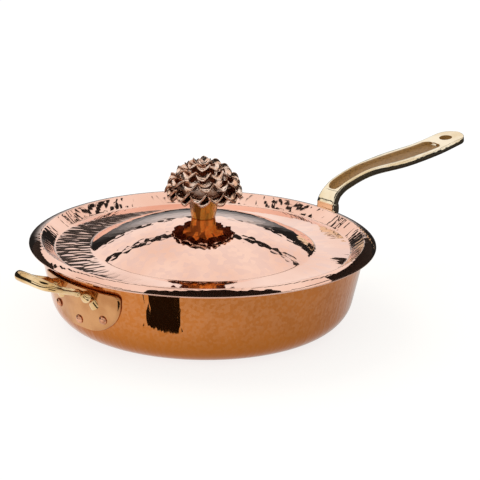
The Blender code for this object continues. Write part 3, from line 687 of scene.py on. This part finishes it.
def handleRing(position, narrowing, groove, grooveWide):
    centre, normal, halfWidth, depth = handleFrame(position)
    half = halfWidth * narrowing
    inner = halfWidth * handle["grooveWidthShare"] * grooveWide
    deep = handle["grooveDepth"] * groove
    floor = inner * handle["grooveFloorShare"]
    lip = min(inner + handle["grooveEdge"], half * handle["edgeShare"])
    shoulder = min(half * handle["shoulderShare"], half - handle["shoulderWidth"] * narrowing)
    profile = [(floor * across, deep * down) for across, down in handle["grooveFloor"]]
    profile += [(inner * across, deep * down) for across, down in handle["grooveSide"]]
    profile += [(lip, 0), ((lip + shoulder) / 2, -handle["crown"]), (shoulder, 0)]
    profile += [(half * across, depth * down) for across, down in handle["sideProfile"]]
    ring = profile + [(-y, d) for y, d in profile[1:-1]][::-1]
    return [centre + Vector((0, y, 0)) - normal * d for y, d in ring]


def handleRings(start, end):  # start and end of the groove
    tipStart = 1 - handle["tipRadius"] / handle["length"]
    last = handlePosition(tipStart)
    places = spaced(0, last, handle["steps"])
    for edge, way in ((start, 1), (end, -1)):
        places += [handlePosition(edge + way * step) for step in handle["grooveSteps"]]
    rings = []
    for place in sorted(set(round(place, 4) for place in places)):
        reach = smoothValue(handle["reachShares"], place)
        inside = max(0.0, min(reach - start, end - reach)) / handle["grooveSteps"][-1]
        rounding = sqrt(max(0.0, 1 - (1 - min(inside, 1)) ** 2))
        groove = min(1, inside * handle["grooveSlope"]) if inside > handle["grooveFlat"] else 0
        rings.append(handleRing(place, 1, groove, max(handle["grooveNarrowest"], rounding)))
    for step in range(1, handle["tipSteps"] + 1):
        turn = handle["tipTurn"] * step / handle["tipSteps"]
        reach = tipStart + (1 - tipStart) * sin(turn)
        rings.append(handleRing(handlePosition(reach), cos(turn), 0.0, handle["grooveNarrowest"]))
    return rings


# the hole's walls take the groove's dark cast skin, which is partly painted shade
def drillHole(piece):  # the hole's edge is softened, and the cast skin stays in it
    radius = handle["holeRadius"]
    centre, normal, _, _ = handleFrame(handlePosition(1 - handle["holeSetback"] / handle["length"]))
    turned = Matrix.Translation(centre) @ normal.to_track_quat("Z", "Y").to_matrix().to_4x4()
    drill = bmesh.new()
    bmesh.ops.create_cone(drill, cap_ends=True, segments=handle["drillSides"], depth=handle["drillLength"],
                          radius1=radius, radius2=radius)
    bmesh.ops.transform(drill, matrix=turned, verts=drill.verts)
    cutter = meshObject("drill", drill)
    cut = piece.modifiers.new("hangingHole", "BOOLEAN")
    cut.operation, cut.solver, cut.object = "DIFFERENCE", "EXACT", cutter
    bevel = piece.modifiers.new("softEdge", "BEVEL")
    bevel.width, bevel.segments = handle["softEdge"], handle["softSteps"]
    bevel.limit_method, bevel.angle_limit = "ANGLE", handle["softAngle"]
    applyModifiers(piece)
    bpy.data.objects.remove(cutter)
    for polygon in piece.data.polygons:
        apart = polygon.center - centre
        near = (apart - normal * apart.dot(normal)).length < radius + handle["skinMargin"]
        if near and abs(polygon.normal.dot(normal)) < handle["skinFacing"]:
            polygon.material_index = 1


def buildLongHandle():
    start, end = handle["grooveStartShare"], 1 - handle["grooveOverhang"] / handle["length"]
    rings = handleRings(start, end)
    bm = bmesh.new()
    loft(bm, rings)
    bm.verts.index_update()
    count = len(rings[0])
    wide, margin = handle["grooveColumns"], handle["grooveMargin"]
    grooved = {*range(wide + 1), *range(count - wide, count)}
    for face in bm.faces:
        columns = {vert.index % count for vert in face.verts}
        reach = sum(vert.co.x for vert in face.verts) / len(face.verts)
        share = (reach - wallRadius(flange["foot"] + handle["rootRise"])) / handle["length"]
        if columns <= grooved and start + margin < share < end - margin:
            face.material_index = 1
    piece = addPiece("longHandle", bm, "pan", ["long_handle"], [handleBrass, grooveBrass])
    drillHole(piece)
    piece.data.shade_smooth()
    piece.data.set_sharp_from_angle(angle=handle["smoothAngle"])
    bm = bmesh.new()
    loft(bm, plateRings(flange))
    addPiece("longHandleFlange", bm, "pan", ["long_handle"], [handleBrass])


buildLongHandle()
print("long handle")


# helper handle: a riveted plate with a fixed loop, a bead and a collar at each foot

loop = {
    "spread": 0.0430, "footRise": 0.0270, "reach": 0.0502, "rise": 0.0262, "footRadius": 0.0070,
    "sides": 32, "steps": 150, "flatShare": 0.86,
    "acrossShares": (1.0, 0.99, 0.98, 0.97, 0.96, 0.955, 0.955, 0.93, 0.80, 0.46, 0.0),
    "reachShares": (0.0, 0.097, 0.185, 0.28, 0.36, 0.437, 0.69, 0.855, 0.96, 0.995, 1.0),
    "riseShares": (0.0, 0.168, 0.29, 0.405, 0.481, 0.546, 0.718, 0.863, 0.954, 0.992, 1.0),
    "thicknessShares": (1.0, 0.66, 0.79, 0.45, 0.50, 0.43, 0.44, 0.52, 0.62, 0.66, 0.66),
}


def loopPoint(position):
    half = loop["spread"] / 2
    footHeight = plate["foot"] + loop["footRise"]
    footRadius = wallRadius(footHeight)
    foot = sqrt(footRadius**2 - half**2)
    return Vector((
        foot + (footRadius + loop["reach"] - foot) * smoothValue(loop["reachShares"], position),
        half * smoothValue(loop["acrossShares"], position),
        footHeight + loop["rise"] * smoothValue(loop["riseShares"], position),
    ))


def loopRing(position, mirrored):
    ahead = heading(loopPoint, position, len(loop["reachShares"]) - 1)
    side = ahead.cross(Vector((-loop["rise"], 0, loop["reach"])).normalized()).normalized()
    up = side.cross(ahead)
    thickness = loop["footRadius"] * smoothValue(loop["thicknessShares"], position)
    ring = []
    for corner in range(loop["sides"]):
        turn = tau * corner / loop["sides"]
        point = loopPoint(position) + thickness * (
            side * cos(turn) * loop["flatShare"] + up * sin(turn))
        ring.append(Vector((point.x, -point.y, point.z)) if mirrored else point)
    return ring


def buildHelperHandle():
    last = len(loop["reachShares"]) - 1
    places = spaced(0, last, loop["steps"])
    half = [loopRing(place, False) for place in places]
    other = [loopRing(place, True) for place in places[:-1]]
    bm = bmesh.new()
    loft(bm, half + other[::-1])
    loopFaces = len(bm.faces)
    loft(bm, plateRings(plate))
    for number, face in enumerate(bm.faces):
        face.material_index = 1 if number >= loopFaces else 0
    bmesh.ops.rotate(bm, verts=bm.verts, matrix=Matrix.Rotation(pi, 3, "Z"))
    addPiece("helperHandle", bm, "pan", ["helper_handle"], [loopBrass, plateBrass])


buildHelperHandle()
print("helper handle")


# finial: a cast stem under a head of cupped petals

finial = {
    "stemRadius": 0.0106, "stemFlare": 0.0032, "stemHeight": 0.0185, "chamfer": 0.0005, "boreDepth": 0.0103,
    "headRadius": 0.0345, "headHeight": 0.0285, "headDepth": 0.0120, "headLift": 0.0240, "steps": 64,
    "coreRadius": 0.0245, "coreHeight": 0.0225, "coreDrop": 0.0045, "coreTop": radians(80),
    "coreSteps": 14,
    "rows": 6, "around": 13, "lowest": radians(-20), "highest": radians(76),
    "rowTurn": radians(137.5), "topTilt": radians(14), "tiltShare": 0.30,
    "narrowingShare": 0.28, "taperShare": 0.13,
}
petal = {
    "length": 0.0170, "width": 0.0160, "thickness": 0.0021, "rootThinness": 0.8, "thickening": 0.45,
    "cup": 0.0042, "curl": 0.0030, "roll": 0.0036, "rollShare": 0.60, "slant": 0.0012,
    "crimp": 0.0004, "crimpWaves": 5.5, "rowSeed": 2.1, "petalSeed": 1.7,
    "sideRim": (0.9, 0.1), "lipRim": (0.88, 0.04), "softShare": 0.36,
    "reachShares": (0.0, 0.35, 0.66, 0.84, 0.92), "widthShares": (0.60, 0.88, 1.0, 0.90, 0.64),
    "alongSteps": 12, "acrossSteps": 14, "crowding": 1.5,
    "light": (1.0, 0.76, 0.62), "deep": (0.80, 0.46, 0.30), "tintSize": 0.006, "specks": 0.4,
    # painted shade in the head's hollows and on faces turned down, painted highlight where it looks outward
    "paintedHollowShade": (0.10, 0.036, 0.02), "outward": (0.67, 0.81), "facing": (-0.65, 0.05), "grain": 0.0012,
    "roughness": (0.40, 0.12), "bump": 0.00018,
}
stemLook = {
    # the stem's copper is made deeper orange than the petals', partly painted reflection of the copper lid
    # below it
    "light": (1.0, 0.47, 0.08), "deep": (1.0, 0.34, 0.045), "tintSize": 0.004, "specks": 0.5,
    "streak": (0.22, 0.075, 0.012), "streakShare": 0.85, "around": 24.0, "rows": 60.0, "grain": 0.0012,
    "metallic": 0.3, "specular": 0.3, "roughness": (0.30, 0.14), "bump": 0.00015, "streaks": (0.42, 0.62),
}


def rowClimb(rowShare):
    return finial["lowest"] + (finial["highest"] - finial["lowest"]) * rowShare


def petalShell(bm, rowShare, angle, seed):
    climb = rowClimb(rowShare)
    swell = finial["headHeight"] if climb > 0 else finial["headDepth"]
    middle = domeHeight(0) + finial["headLift"]
    taper = finial["taperShare"] * sin(climb * 2) * rowShare
    lip = Vector((finial["headRadius"] * (cos(climb) - taper), 0, middle + swell * sin(climb)))
    tilt = climb * finial["tiltShare"] + finial["topTilt"] * rowShare**4
    ahead = Vector((cos(tilt), 0, sin(tilt)))
    up = Vector((-sin(tilt), 0, cos(tilt)))
    size = 1 - finial["narrowingShare"] * rowShare
    drop = petal["curl"] - petal["roll"]
    root = lip - ahead * petal["length"] * size - up * drop * size
    turned = Matrix.Rotation(angle, 3, "Z")
    last = len(petal["reachShares"]) - 1
    rings = []
    for row in range(petal["alongSteps"] + 1):
        at = last * (1 - (1 - row / petal["alongSteps"]) ** petal["crowding"])
        reach = smoothValue(petal["reachShares"], at)
        wide = smoothValue(petal["widthShares"], at)
        upper, lower = [], []
        for turn in spaced(0, pi, petal["acrossSteps"]):
            side = -cos(turn)
            bulge = (1 - side**2) * (1 - petal["reachShares"][-1]) * reach
            point = root + ahead * petal["length"] * size * (reach + bulge)
            point += Vector((0, petal["width"] / 2 * size * wide * side, 0))
            crimp = petal["crimp"] * (cos(side * petal["crimpWaves"] + seed) - 1) * reach**3
            roll = max(0, reach + bulge - petal["rollShare"]) / (1 - petal["rollShare"])
            point += up * size * (
                petal["curl"] * reach**2 + petal["cup"] * side**2 * wide
                + petal["slant"] * side + crimp - petal["roll"] * roll**2)
            rims = ((abs(side), petal["sideRim"]), (reach, petal["lipRim"]))
            rim = min(1, max(max(0.0, value - start) / width for value, (start, width) in rims))
            thick = petal["thickness"] * (petal["rootThinness"] + petal["thickening"] * reach)
            soft = thick * petal["softShare"] * (1 - sqrt(1 - rim**2))
            upper.append(turned @ (point - up * soft))
            lower.append(turned @ (point - up * (thick - soft)))
        rings.append(upper + lower[::-1])
    loft(bm, rings)


# painted highlight where the head looks outward, painted shade in its hollows and on faces turned down
def petalCopper(tree, look):  # bright where the head looks outward, dark in its hollows
    _, radius, height = flatPlace(tree)
    middle = domeHeight(0) + finial["headLift"]
    upward = mathNode("DIVIDE", difference(height, middle), finial["headHeight"])
    widening = ramp(upward, 0.0, 1.0, 1.0, 1.0 + finial["taperShare"] * 2)
    across = product(mathNode("DIVIDE", radius, finial["headRadius"]), widening)
    spread = mathNode("ADD", product(across, across), product(upward, upward))
    outer = ramp(mathNode("SQRT", spread), *look["outward"])
    normal = addNode(tree, "ShaderNodeNewGeometry").outputs["Normal"]
    outer = product(outer, ramp(splitVector(normal)[2], *look["facing"]))
    grain = placeGroup(tree, castGrain, Size=look["grain"])
    shade = mixColour(outer, look["paintedHollowShade"], placeTint(tree, look)["Color"])
    return shade, outer, grain["Height"]


def stemCopper(tree, look):
    grain = placeGroup(tree, castGrain, Size=look["grain"])
    streaks = placeMarks(tree, look["around"], look["rows"], 1.0)
    dark = product(ramp(streaks["Cell"], *look["streaks"]), look["streakShare"])
    shade = mixColour(dark, placeTint(tree, look)["Color"], look["streak"])
    return shade, grain["Pits"], grain["Height"]


def buildFinial():
    middle = domeHeight(0) + finial["headLift"]
    stemFoot = domeHeight(finial["stemRadius"]) + lid["clearance"]
    boreFoot = domeHeight(lid["boreRadius"]) + lid["clearance"]
    stemTop = domeHeight(0) + finial["stemHeight"]
    chamfer, boreTop = finial["chamfer"], boreFoot + finial["boreDepth"]
    squash = finial["coreHeight"] / finial["coreRadius"]
    dome = arc((0, 0), finial["coreRadius"], finial["coreTop"], 0, finial["coreSteps"])
    core = [(0, middle + finial["coreHeight"])]
    core += [(radius, middle + height * squash) for radius, height in dome]
    slots = [0] * len(dome)
    core += [
        (finial["coreRadius"] - finial["coreDrop"], middle - finial["coreDrop"]),
        (finial["stemRadius"] + finial["stemFlare"], stemTop),
        (finial["stemRadius"], stemFoot + chamfer), (finial["stemRadius"] - chamfer, stemFoot),
        (lid["boreRadius"], boreFoot), (lid["boreRadius"], boreTop), (0, boreTop),
    ]
    slots += [1] * (len(core) - len(slots) - 1)
    petals = makeMetal("petalCopper", petal, petalCopper)
    stem = makeMetal("stemCopper", stemLook, stemCopper)
    bm = lathe(core, finial["steps"], slots)
    addPiece("finialStem", bm, "lid_group", ["finial"], [petals, stem])
    bm = bmesh.new()
    angle = 0
    for row in range(finial["rows"]):
        rowShare = row / (finial["rows"] - 1)
        count = max(3, round(finial["around"] * cos(rowClimb(rowShare))))
        angle += finial["rowTurn"]
        for number in range(count):
            seed = row * petal["rowSeed"] + number * petal["petalSeed"]
            petalShell(bm, rowShare, angle + tau * number / count, seed)
    addPiece("finialPetals", bm, "lid_group", ["finial"], [petals])


buildFinial()
print("finial")


# screw and washer, shown as they were packed

fastener = {
    "light": (0.82, 0.64, 0.36), "deep": (0.60, 0.42, 0.20), "tintSize": 0.003, "specks": 0.3,
    "around": 6.0, "rows": 2600.0, "roughness": (0.16, 0.32), "dullest": 0.8, "bump": 0.00004,
}
brassOfFasteners = makeMetal("fastenerBrass", fastener, turnedRings)
for nodeName in ("finial_screw", "finial_washer"):
    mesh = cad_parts[nodeName].data
    mesh.materials.clear()
    mesh.materials.append(brassOfFasteners)
print("fasteners")


# studio: pale floor, soft light, and dark cards that only reflections show

studio = {
    "azimuth": radians(43.4), "elevation": 0.307, "roll": 0.021, "distance": 1.6,
    "target": (0.03257, 0.0, 0.0704), "focal": 1816.6, "frame": 480, "sensor": 36, "clip": (0.05, 50),
    "floorSize": 6.0, "floorDrop": 0.0002, "floorGlow": 0.80, "floorAlbedo": 0.28, "skyLight": 0.75,
    "glowNear": (0.33, 0.43, 1.0, 0.02), "glowSide": (-0.16, 0.20, 1.0, 0.66),
    "copperBounceNear": (0.36, 0.16), "copperBounceTint": (1.0, 0.93, 0.80),
    "keyPower": 9.0, "keySize": 1.2, "keyPlace": (-0.9, 0.6, 1.6), "keyTint": (1.0, 0.97, 0.93),
}


def turnedNode(vector):  # turned so that y points away from the photo's camera
    inputs = {"Vector": vector, "Angle": studio["azimuth"]}
    return joinNode("ShaderNodeVectorRotate", inputs, rotation_type="Z_AXIS").outputs[0]


def flatSheet(name, corners):
    bm = bmesh.new()
    bm.faces.new([bm.verts.new(corner) for corner in corners])
    return meshObject(name, bm)


def buildFloor():
    half = studio["floorSize"] / 2
    floor = flatSheet("paleFloor", ((-half, -half, 0), (half, -half, 0), (half, half, 0), (-half, half, 0)))
    floor.location.z = -studio["floorDrop"]
    material = bpy.data.materials.new("paleFloor")
    material.use_nodes = True
    tree = material.node_tree
    tree.nodes.clear()
    rays = addNode(tree, "ShaderNodeLightPath").outputs
    _, radius, _ = flatPlace(tree)
    sideways = splitVector(turnedNode(objectPlace(tree)))[0]
    # in reflections the floor is bright near the pan and dark far off
    nearby = product(ramp(radius, *studio["glowNear"]), ramp(sideways, *studio["glowSide"]))
    seen = mixValue(rays["Is Glossy Ray"], 1.0, nearby)
    # painted reflection: a warm tint near the pan for the light the copper throws onto the floor
    copperBounce = mixColour(ramp(radius, *studio["copperBounceNear"]), (1, 1, 1), studio["copperBounceTint"])
    albedo = product(seen, studio["floorAlbedo"])
    white = vectorNode("SCALE", {0: copperBounce, "Scale": albedo})
    glow = product(seen, studio["floorGlow"])
    shine = addNode(tree, "ShaderNodeEmission", {"Color": (1, 1, 1, 1), "Strength": glow}).outputs[0]
    matt = addNode(tree, "ShaderNodeBsdfDiffuse", {"Color": white}).outputs[0]
    both = addNode(tree, "ShaderNodeAddShader", {0: shine, 1: matt}).outputs[0]
    addNode(tree, "ShaderNodeOutputMaterial", {"Surface": both})
    floor.data.materials.append(material)


room = {  # what reflections show: shares of the way sideways and up, and the brightness there
    "away": (-0.02, 0.06), "nearest": 0.02,
    "windowLeft": (-0.052, -0.036), "windowRight": (0.078, 0.062), "windowFoot": (0.20, 0.25),
    "wallDip": (-0.09, -0.04, 0.0, 0.012), "wallClimb": (0.0, 0.22, 0.30, 0.66),
    "wallTop": (0.284, 0.266, 0.14, 1.0), "wallLeft": (-0.40, -0.13), "wallRight": (0.22, 0.11),
    "ceilingRise": (-0.035, -0.075, 0.0, 0.0095), "ceilingEdge": (0.300, 0.312),
    "jointClimb": 0.81, "jointWidth": (0.050, 0.060),
    "boxSides": (0.75, 0.95), "boxTop": (0.76, 0.68), "aboveGap": (0.33, 0.40), "belowGap": (0.29, 0.24),
    "rightHalf": (-0.01, 0.01), "seamSlope": 1.32, "seamAway": (0.0, 1.0, 1.0, 0.58),
    "seamClimb": (0.0, 1.0, 0.43, 0.56), "seamMiddle": (0.0, 1.0, 0.60, 0.71),
    "seamLength": (0.21, 0.17), "seamWidth": (0.042, 0.024),
    "lightRange": (0.0, 1.0, 0.02, 1.0), "coolBelow": (0.29, 0.25), "coolTint": (0.86, 0.95, 1.0),
}


def buildWorld():
    world = bpy.data.worlds.new("studio")
    bpy.context.scene.world = world
    world.use_nodes = True
    tree = world.node_tree
    tree.nodes.clear()

    def over(value, name):
        return ramp(value, *room[name])

    def absolute(value):
        return mathNode("ABSOLUTE", value)

    ray = addNode(tree, "ShaderNodeTexCoord").outputs["Generated"]
    x, y, z = splitVector(turnedNode(ray))
    away, right = over(y, "away"), over(x, "rightHalf")
    depth = largest(y, room["nearest"])
    sideShare = mathNode("DIVIDE", x, depth)
    climbShare = mathNode("DIVIDE", z, depth)
    sideways = mathNode("DIVIDE", absolute(x), largest(z, room["nearest"]))
    # behind: a grey wall with a bright window, and a bright ceiling with a dark joint
    window = product(over(sideShare, "windowLeft"), over(sideShare, "windowRight"))
    window = product(window, over(z, "windowFoot"))
    wallTop = over(difference(z, over(sideShare, "wallDip")), "wallTop")
    wall = product(over(z, "wallClimb"), wallTop, over(sideShare, "wallLeft"))
    wall = product(wall, over(sideShare, "wallRight"))
    joint = over(absolute(difference(climbShare, room["jointClimb"])), "jointWidth")
    ceiling = over(difference(z, over(sideShare, "ceilingRise")), "ceilingEdge")
    behind = largest(largest(window, wall), product(ceiling, joint))
    # towards the camera: dark in the middle, soft boxes left and right
    boxes = largest(over(sideways, "boxSides"), over(z, "boxTop"))
    gap = largest(over(z, "aboveGap"), over(z, "belowGap"))
    front = product(boxes, gap, difference(1.0, away))
    light = mathNode("ADD", product(behind, away), front, clamp=True)
    # a slanting dark seam at both sides
    slant = product(absolute(x), room["seamSlope"])
    slant = difference(slant, product(y, over(right, "seamAway")))
    slant = difference(slant, product(z, over(right, "seamClimb")))
    offMiddle = difference(sideways, over(right, "seamMiddle"))
    seam = product(over(absolute(offMiddle), "seamLength"), over(absolute(slant), "seamWidth"))
    light = product(light, difference(1.0, seam))
    rays = addNode(tree, "ShaderNodeLightPath").outputs
    straight = largest(rays["Is Camera Ray"], rays["Is Transmission Ray"])
    plain = mixValue(straight, studio["skyLight"], 1.0)
    seen = mixValue(rays["Is Glossy Ray"], plain, over(light, "lightRange"))
    cool = product(rays["Is Glossy Ray"], over(z, "coolBelow"), away)
    tint = mixColour(cool, (1, 1, 1), room["coolTint"])
    background = addNode(tree, "ShaderNodeBackground", {"Color": tint, "Strength": seen})
    addNode(tree, "ShaderNodeOutputWorld", {"Surface": background.outputs[0]})


def sector(near, far, first, last):  # a flat piece of a ring; near gives its inner edge point by point
    turns = [radians(turn) for turn in spaced(first, last, len(near) - 1)]
    inner = [(radius * cos(turn), radius * sin(turn)) for radius, turn in zip(near, turns)]
    return inner + [(far * cos(turn), far * sin(turn)) for turn in reversed(turns)]


# dark cards that only reflections show, seen from the photo's camera: x right, y away
cards = {
    "onFloor": 0.0004, "overLid": 0.100, "colour": (0.012, 0.009, 0.007, 1),
    "front": ((-0.070, -0.157), (-0.024, -0.167), (-0.040, -0.235), (-0.100, -0.205)),
    "back": ((0.145, 0.20), (0.30, 0.17), (1.40, 0.80), (1.40, 3.20), (0.60, 3.20), (0.13, 0.50)),
    "handle": ((0.27, 0.00), (1.00, -0.05), (1.00, 0.60), (0.38, 0.36), (0.27, 0.20)),
    "ragged": (
        0.150, 0.139, 0.136, 0.139, 0.133, 0.137, 0.128, 0.131, 0.124, 0.121, 0.126, 0.118, 0.123, 0.116,
        0.113, 0.115, 0.112, 0.118, 0.131, 0.127, 0.133, 0.129, 0.136, 0.139, 0.135, 0.141, 0.150),
    "raggedPlace": (0.160, -111, -59),
    "skirtRight": ((0.139,) * 17, 0.205, -33, 33), "skirtLeft": ((0.158,) * 17, 0.205, 162, 200),
}


def buildCard(name, outline, level):
    turned = Matrix.Rotation(-studio["azimuth"], 3, "Z")
    card = flatSheet(name, [turned @ Vector((x, y, level)) for x, y in outline])
    material = bpy.data.materials.new(name)
    material.use_nodes = True
    shader = material.node_tree.nodes["Principled BSDF"]
    shader.inputs["Base Color"].default_value = cards["colour"]
    shader.inputs["Roughness"].default_value = 1.0
    card.data.materials.append(material)
    card.visible_camera = card.visible_diffuse = card.visible_shadow = False


def buildCards():
    onFloor, overLid = cards["onFloor"], cards["overLid"]
    buildCard("floorCard", cards["front"], onFloor)
    buildCard("lidCard", sector(cards["ragged"], *cards["raggedPlace"]), overLid)
    buildCard("paperLeft", [(-x, y) for x, y in reversed(cards["back"])], onFloor)
    buildCard("paperRight", cards["back"], onFloor)
    buildCard("paperHandle", cards["handle"], onFloor)
    buildCard("skirtCardRight", sector(*cards["skirtRight"]), overLid)
    buildCard("skirtCardLeft", sector(*cards["skirtLeft"]), overLid)


def buildCamera():
    data = bpy.data.cameras.new("camera")
    camera = linkObject("camera", data)
    turn = Matrix.Rotation(-studio["azimuth"], 4, "Z")
    tilt = Matrix.Rotation(pi / 2 - studio["elevation"], 4, "X")
    back = Matrix.Translation((0, 0, studio["distance"]))
    roll = Matrix.Rotation(studio["roll"], 4, "Z")
    camera.matrix_world = turn @ Matrix.Translation(studio["target"]) @ tilt @ back @ roll
    data.sensor_width = studio["sensor"]
    data.lens = studio["focal"] * studio["sensor"] / studio["frame"]
    data.clip_start, data.clip_end = studio["clip"]
    bpy.context.scene.camera = camera


def buildKey():
    data = bpy.data.lights.new("keyLight", "AREA")
    data.shape, data.size, data.energy = "SQUARE", studio["keySize"], studio["keyPower"]
    data.color = studio["keyTint"]
    key = linkObject("keyLight", data)
    place = Matrix.Rotation(-studio["azimuth"], 3, "Z") @ Vector(studio["keyPlace"])
    key.location = place
    key.rotation_euler = place.to_track_quat("Z", "Y").to_euler()
    key.visible_glossy = False


buildFloor()
buildWorld()
buildCards()
buildCamera()
buildKey()
bpy.context.scene.view_settings.view_transform = "Standard"
print("studio")
